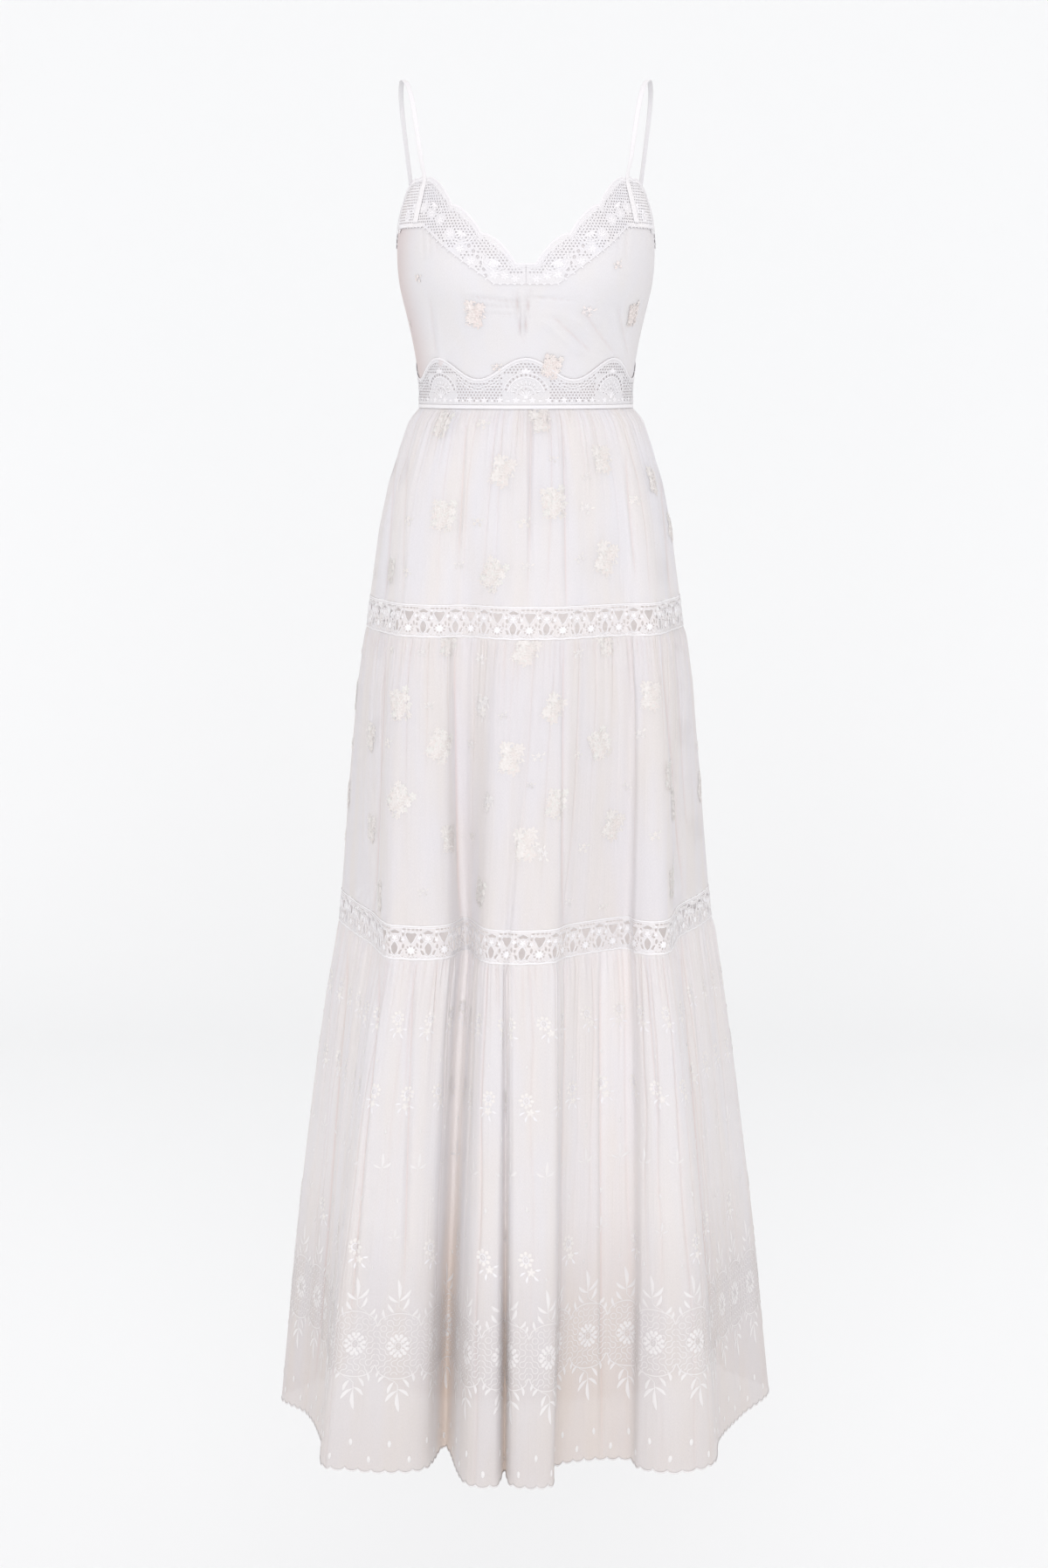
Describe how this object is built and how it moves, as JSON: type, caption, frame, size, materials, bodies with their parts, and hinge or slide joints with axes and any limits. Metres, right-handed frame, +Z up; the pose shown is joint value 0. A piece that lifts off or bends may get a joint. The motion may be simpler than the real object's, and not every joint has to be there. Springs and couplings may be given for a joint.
{
  "type": "maxi dress",
  "caption": "Long tiered dress on thin straps with a V neck, lace edging, a lace waistband and lace insertions, in its worn hollow shape.",
  "frame": {"origin": "midway between the tops of the two shoulder straps, where the wearer's shoulders hold the dress", "axes": "+Z up along the dress, the front faces -Y, +X towards the wearer's left side"},
  "size_m": [0.559, 0.5121, 1.4706],
  "materials": {
    "bodice_voile": "matt white cotton voile with peach rose embroidery, double layer",
    "skirt_voile": "matt white cotton voile with scattered peach rose embroidery",
    "hem_voile": "matt white cotton voile with white flower and leaf embroidery and a scalloped, satin-stitched hem",
    "lace": "white cotton flower lace with corded, scalloped edges",
    "tape": "white cotton ribbon with a soft sheen",
    "lining": "plain white cotton lawn",
    "zip_tape": "white woven tape",
    "zip_metal": "white lacquered metal"
  },
  "bodies": {
    "dress": {"bodice_front": "bodice_voile", "bodice_back_left": "bodice_voile", "bodice_back_right": "bodice_voile", "neck_lace_left": "lace", "neck_lace_right": "lace", "waist_lace": "lace", "waist_tape": "tape", "strap_left": "tape", "strap_right": "tape", "skirt_tier_1": "skirt_voile", "skirt_tier_2": "skirt_voile", "skirt_tier_3": "hem_voile", "lace_insertion_1_front": "lace", "lace_insertion_1_back": "lace", "lace_insertion_2_front": "lace", "lace_insertion_2_back": "lace", "slip_lining": "lining", "zip_tape": "zip_tape", "zip_slider": "zip_metal"},
    "pull_tab": {"zip_pull": "zip_metal"}
  },
  "joints": [
    {"name": "pull_hinge", "type": "hinge", "parent": "dress", "child": "pull_tab", "pos_m": [0, 0.10162, -0.2065], "axis": [1, 0, 0], "range_deg": [0, 150]}
  ]
}
